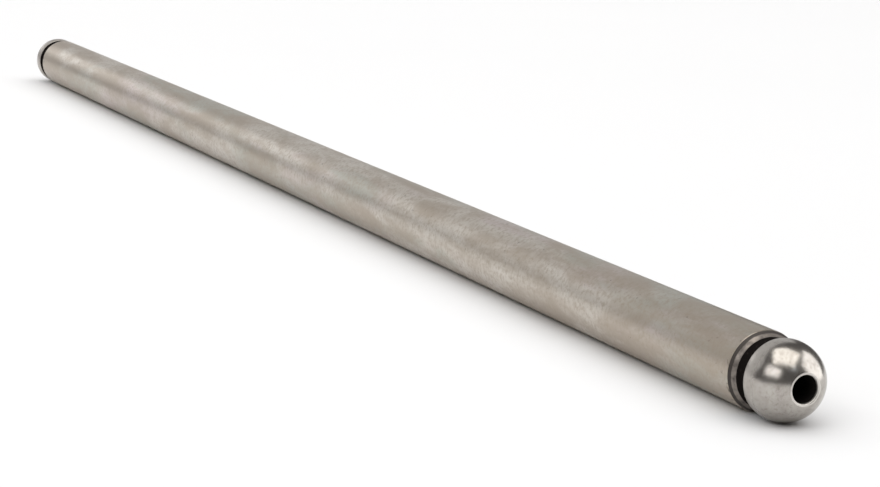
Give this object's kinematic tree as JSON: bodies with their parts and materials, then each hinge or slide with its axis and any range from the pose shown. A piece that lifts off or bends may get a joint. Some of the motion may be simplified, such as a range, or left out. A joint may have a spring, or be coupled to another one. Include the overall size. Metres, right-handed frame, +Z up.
{
  "type": "engine pushrod",
  "caption": "Straight steel tube swaged to a ground ball at either end, with an oil passage right through; carries the lifter's push to the rocker arm.",
  "frame": {"origin": "on the rod's axis, at mid-length", "axes": "+Y along the rod, from one ball to the other; +Z up as the rod lies on a surface; the two ends are alike"},
  "size_m": [0.008, 0.2534, 0.008],
  "materials": {
    "ground_steel": "satin ground tube with polished balls and dark scale left in the necks"
  },
  "bodies": {
    "root": {"pushrod": "ground_steel"}
  },
  "joints": []
}
